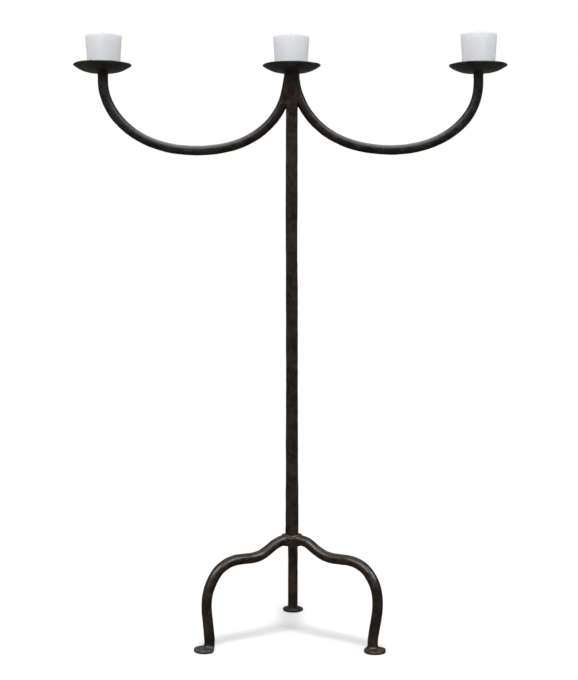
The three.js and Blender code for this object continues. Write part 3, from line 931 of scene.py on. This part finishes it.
def build_pricket(side):
    c = PAN_THICK + 0.3
    top = c + COLLAR_H
    prof = [(0, -16.0), (SHANK_R - 0.5, -16.0), (SHANK_R, -15.4), (SHANK_R, c)]
    prof += [(COLLAR_R - 0.5, c)] + arc(COLLAR_R - 0.55, c + 0.55, 0.55, -90, 60, 6)
    prof += [(COLLAR_R - 2.0, top - 0.05), (SPIKE_R + 1.2, top), (SPIKE_R + 0.35, top + 0.35)]
    for t in np.linspace(0.04, 1.0, 26):
        r = SPIKE_R * (1 - t) ** 0.75 * (1 - 0.12 * t) + 0.35 * (1 - (1 - t) ** 6)
        prof.append((max(r, 0.34) if t < 0.99 else 0.22, top + SPIKE_H * t))
    prof.append((0, top + SPIKE_H + 0.0))
    v, f = turned(prof, 40)
    cx, cy = PAN_C[side]
    # the spike is forged four-sided
    r = np.hypot(v[:, 0], v[:, 1])
    a = np.arctan2(v[:, 1], v[:, 0])
    sq = smooth01((v[:, 2] - top - 1) / 3) * 0.10
    k = 1 + sq * np.cos(4 * a)
    v[:, 0] *= k
    v[:, 1] *= k
    world = v + np.array([cx, cy, PAN_Z])
    n = vertex_normals(world, f)
    world += n * (0.10 * vnoise(world, 5.0, 31) * (r > 0.5) * (v[:, 2] > c + 0.1))[:, None]
    ob = mesh_object("pricket_%s_spike" % side, to_row(world), f)
    return finish_piece(ob, "stand", ["pricket_" + side], PAN_IRON)


# ------------------------------------------------------------------ candles and wicks


def build_candle(side):
    cx, cy = CANDLE_C[side]
    z0, z1 = CANDLE_Z0[side], CANDLE_Z1[side]
    h = z1 - z0
    off = PAN_C[side][0] - cx                      # the pricket's axis from the candle's
    spike = PAN_THICK + 0.3 + COLLAR_H + SPIKE_H - (z0 - PAN_Z)
    lean = (CANDLE_TOP_R - CANDLE_BASE_R) / h
    prof = [(0, spike + 1.2), (0.8, spike + 0.8), (1.6, spike - 3), (SPIKE_R * 0.8 + 0.7, spike * 0.5), (SPIKE_R + 0.7, 6.0)]
    cen = [off] * 5
    prof += [(SPIKE_R + 0.9, 1.2), (SPIKE_R + 1.4, 0.2), (SPIKE_R + 2.6, 0.0), (14.0, 0.0), (24.0, 0.0)]
    cen += [off, off, off, off * 0.5, 0.0]
    side_pts = arc(CANDLE_BASE_R - 1.2, 1.2, 1.2, -90, 0, 5)
    for t in np.linspace(0.05, 0.95, 20):
        side_pts.append((CANDLE_BASE_R + lean * h * t, h * t))
    e = 0.7
    side_pts += arc(CANDLE_TOP_R - e, h - e, e, 4, 90, 6)
    prof += side_pts
    cen += [0.0] * len(side_pts)
    lid = [(30.0, h - 0.10), (26.0, h - 0.45), (20.0, h - 0.70), (12.0, h - 0.75), (6.0, h - 0.70), (3.4, h - 0.45), (2.2, h - 0.35), (1.55, h - 0.9), (1.5, h - 12.3), (0, h - 12.3)]
    prof += lid
    cen += [0.0] * len(lid)
    v, f = turned(prof, 112, cen)
    r = np.hypot(v[:, 0], v[:, 1])
    world = v + np.array([cx, cy, z0])
    n = vertex_normals(world, f)
    soft = smooth01((r - 26) / 4) * smooth01(v[:, 2] / 4)
    world += n * ((0.16 * vnoise(world, 24.0, 41) + 0.05 * vnoise(world, 7.0, 42)) * soft)[:, None]
    top = smooth01((v[:, 2] - (h - 1.2)) / 0.6) * smooth01((r - 3) / 4)
    world[:, 2] += 0.14 * vnoise(world, 15.0, 43) * top
    ob = mesh_object("candle_%s_wax" % side, to_row(world), f)
    return finish_piece(ob, "candle_" + side, ["candle_" + side], WAX)


def build_wick(side):
    """Three cotton strands plaited round each other, standing out of the wax."""
    cx, cy = CANDLE_C[side]
    lo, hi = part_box("wick_" + side)
    z0, z1 = lo.z * 1000, hi.z * 1000
    seed = {"left": 1, "center": 2, "right": 3}[side]
    verts, faces = [], []
    count = 64
    around = 12
    for s in range(3):
        rings = []
        ph = s * 2 * math.pi / 3
        for i in range(count):
            t = i / (count - 1)
            z = z0 + (z1 - z0) * t
            turn = (z - z0) / 5.2 * 2 * math.pi
            rad = 0.52 + 0.05 * math.sin(9 * t + s)
            lean = smooth01(np.array([(t - 0.62) / 0.38]))[0]
            bx = 0.45 * lean * math.cos(seed * 2.0)
            by = 0.45 * lean * math.sin(seed * 2.0)
            c = np.array([bx + rad * math.cos(turn + ph), by + rad * math.sin(turn + ph), z])
            tan = np.array([-rad * math.sin(turn + ph) * 2 * math.pi / 5.2, rad * math.cos(turn + ph) * 2 * math.pi / 5.2, 1.0])
            tan /= np.linalg.norm(tan)
            a = np.cross(tan, [0, 0, 1.0])
            a = a / np.linalg.norm(a)
            b = np.cross(tan, a)
            w = 0.62 * (1 if t < 0.9 else math.sqrt(max(0.05, 1 - ((t - 0.9) / 0.1) ** 2 * (0.85 + 0.05 * s))))
            th = np.arange(around) * 2 * math.pi / around
            rings.append(c + w * (np.cos(th)[:, None] * a + np.sin(th)[:, None] * b))
        v, f = loft(rings)
        f = outward(v - v.mean(0), f)
        o = sum(len(x) for x in verts)
        verts.append(v)
        faces += [tuple(i + o for i in q) for q in f]
    v = np.vstack(verts)
    v[:, 0] += cx
    v[:, 1] += cy
    v[:, 2] = np.clip(v[:, 2], z0, z1)
    ob = mesh_object("wick_%s_braid" % side, to_row(v), faces)
    return finish_piece(ob, "candle_" + side, ["wick_" + side], COTTON)


build_stem()
for _side in ("left", "right"):
    build_arm(_side)
    build_pan_weld(_side)
for _side in ("left", "right", "rear"):
    build_leg(_side)
build_neck()
build_hub()
for _side in ("left", "center", "right"):
    build_pan(_side)
    build_pricket(_side)
    build_candle(_side)
    build_wick(_side)

# ------------------------------------------------------------------ floor


FLOOR_GLOW = 0.27


def build_floor():
    n = 48
    r = np.r_[0.0, np.geomspace(0.25, 60.0, n)]
    seg = 64
    verts, faces = [(0.0, 0.0, 0.0)], []
    for i in range(1, len(r)):
        for j in range(seg):
            a = 2 * math.pi * j / seg
            verts.append((r[i] * math.cos(a), r[i] * math.sin(a), 0.0))
    for j in range(seg):
        faces.append((0, 1 + j, 1 + (j + 1) % seg))
    for i in range(1, len(r) - 1):
        a, b = 1 + (i - 1) * seg, 1 + i * seg
        for j in range(seg):
            k = (j + 1) % seg
            faces.append((a + j, b + j, b + k, a + k))
    ob = mesh_object("studio_floor", np.array(verts), faces)
    m = Nodes("pale_floor")
    cloud = m.noise(1.4, 3.0, 0.5)
    base = m.mix(cloud, (0.89, 0.89, 0.89), (0.91, 0.91, 0.91))
    m.shader(
        Base_Color=base, Roughness=m.range(cloud, 0.3, 0.7, 0.75, 0.85), Specular_IOR_Level=0.1,
        Emission_Color=(1.0, 1.0, 1.0, 1.0), Emission_Strength=FLOOR_GLOW,
    )
    ob.data.materials.append(m.mat)
    ob.visible_glossy = False
    ob.visible_diffuse = False
    return ob


floor = build_floor()

# ------------------------------------------------------------------ light


def sun(name, toward, strength, angle, color=(1, 1, 1)):
    """A far light of the given angular width, shining from the direction toward."""
    L = bpy.data.lights.new(name, "SUN")
    L.energy = strength
    L.angle = math.radians(angle)
    L.color = color
    ob = bpy.data.objects.new(name, L)
    ob.rotation_mode = "QUATERNION"
    ob.rotation_quaternion = Vector(toward).to_track_quat("Z", "Y")
    bpy.context.scene.collection.objects.link(ob)
    return ob


def group(name, objects, state="INCLUDE"):
    """Objects that a light is kept to (INCLUDE) or kept off (EXCLUDE)."""
    c = bpy.data.collections.new(name)
    for o in objects:
        c.objects.link(o)
    for k in c.collection_objects:
        k.light_linking.link_state = state
    return c


def pieces(*starts):
    return [o for o in bpy.data.objects if o.type == "MESH" and o.name.startswith(starts)]


only_floor = group("only_floor", [floor])
not_floor = group("not_floor", [floor], "EXCLUDE")
only_iron = group("only_iron", [o for o in pieces("stem_bar", "arm_", "leg_", "neck_", "hub_", "pan_", "pricket_") if o.data.materials and o.data.materials[0] in (IRON, ARM_IRON, PAN_IRON)])
only_arms = group("only_arms", [o for o in pieces("arm_") if o.data.materials and o.data.materials[0] == ARM_IRON])
but_arms = group("but_arms", [o for o in only_iron.objects if o.name not in only_arms.objects])
tripod = group("tripod", [o for o in pieces("leg_", "hub_") if o.data.materials and o.data.materials[0] == IRON])

# the floor takes one high light and the sky, so that it shows one soft shadow of the tripod
floor_key = sun("floor_key", (0.03, -0.34, 1.0), 2.0, 17)
floor_key.light_linking.receiver_collection = only_floor
floor_key.light_linking.blocker_collection = tripod

# soft light that fills the forms from every side
for _name, _toward, _power, _angle, _color in (
    ("soft_left", (-0.8, -0.55, 0.75), 1.17, 18, (1, 1, 1)),
    ("soft_right", (0.8, -0.55, 0.75), 1.02, 18, (1, 1, 1)),
    ("front_fill", (0.0, -1.0, 0.40), 1.05, 70, (0.93, 0.965, 1.0)),
    ("back_left", (-0.65, 0.75, 0.5), 0.70, 50, (1, 1, 1)),
    ("back_right", (0.65, 0.75, 0.5), 0.60, 50, (1, 1, 1)),
):
    _l = sun(_name, _toward, _power, _angle, _color)
    _l.visible_glossy = False
    _l.light_linking.receiver_collection = not_floor

# wide panels that only show as sheen on the iron
for _name, _toward, _power, _angle, _to in (
    ("sheen_left", (-0.8, -0.55, 1.0), 1.2, 24, but_arms),
    ("sheen_left_arms", (-0.8, -0.55, 1.0), 0.8, 30, only_arms),
    ("sheen_right", (0.8, -0.55, 1.0), 1.7, 24, but_arms),
    ("sheen_right_arms", (0.8, -0.55, 1.0), 1.0, 30, only_arms),
    ("sheen_right_legs", (0.8, -0.55, 1.0), 0.5, 16, but_arms),
    ("sheen_top", (0.0, -0.55, 1.0), 0.9, 48, only_iron),
    ("sheen_arms", (0.0, -0.55, 1.0), 0.8, 48, only_arms),
    ("sheen_spot", (-0.25, -0.75, 1.0), 1.7, 16, but_arms),
    ("sheen_back", (0.0, 0.6, 1.0), 0.6, 48, only_iron),
    ("sheen_over", (0.0, 0.2, 1.0), 2.6, 60, only_arms),
):
    _l = sun(_name, _toward, _power, _angle)
    _l.visible_diffuse = False
    _l.light_linking.receiver_collection = _to

world = bpy.data.worlds.new("studio")
world.use_nodes = True
wt = world.node_tree
wt.nodes.clear()
w_out = wt.nodes.new("ShaderNodeOutputWorld")
w_tc = wt.nodes.new("ShaderNodeTexCoord")
w_sep = wt.nodes.new("ShaderNodeSeparateXYZ")
w_ramp = wt.nodes.new("ShaderNodeValToRGB")
w_ramp.color_ramp.elements[0].position = 0.0
w_ramp.color_ramp.elements[0].color = (0.20, 0.20, 0.20, 1)
w_ramp.color_ramp.elements[1].position = 1.0
w_ramp.color_ramp.elements[1].color = (0.26, 0.26, 0.26, 1)
_e = w_ramp.color_ramp.elements.new(0.5)
_e.color = (0.30, 0.30, 0.30, 1)
w_map = wt.nodes.new("ShaderNodeMapRange")
w_map.inputs["From Min"].default_value = -1.0
w_map.inputs["From Max"].default_value = 1.0
w_soft = wt.nodes.new("ShaderNodeBackground")
w_soft.inputs["Strength"].default_value = 1.0
w_white = wt.nodes.new("ShaderNodeBackground")
w_white.inputs["Color"].default_value = (1.0, 1.0, 1.0, 1)
w_path = wt.nodes.new("ShaderNodeLightPath")
w_mix = wt.nodes.new("ShaderNodeMixShader")
w_dim = wt.nodes.new("ShaderNodeMapRange")
w_dim.inputs["To Min"].default_value = 1.0
w_dim.inputs["To Max"].default_value = 0.5
wt.links.new(w_path.outputs["Is Glossy Ray"], w_dim.inputs["Value"])
wt.links.new(w_dim.outputs[0], w_soft.inputs["Strength"])
wt.links.new(w_tc.outputs["Generated"], w_sep.inputs[0])
wt.links.new(w_sep.outputs["Z"], w_map.inputs["Value"])
wt.links.new(w_map.outputs[0], w_ramp.inputs[0])
wt.links.new(w_ramp.outputs[0], w_soft.inputs["Color"])
wt.links.new(w_path.outputs["Is Camera Ray"], w_mix.inputs[0])
wt.links.new(w_soft.outputs[0], w_mix.inputs[1])
wt.links.new(w_white.outputs[0], w_mix.inputs[2])
wt.links.new(w_mix.outputs[0], w_out.inputs[0])
bpy.context.scene.world = world
bpy.context.scene.view_settings.view_transform = "Standard"
bpy.context.scene.view_settings.look = "None"

# ------------------------------------------------------------------ camera

cam_data = bpy.data.cameras.new("camera")
cam_data.sensor_width = 36.0
cam_data.lens = 36.0 * 1297.5 / 680.0
cam_data.clip_start, cam_data.clip_end = 0.05, 200.0
cam = bpy.data.objects.new("camera", cam_data)
cam.location = (AX - 0.00557, AY - 2.4768, 0.7373)
cam.rotation_euler = (math.radians(90 - 3.75), 0, 0)
bpy.context.scene.collection.objects.link(cam)
bpy.context.scene.camera = cam
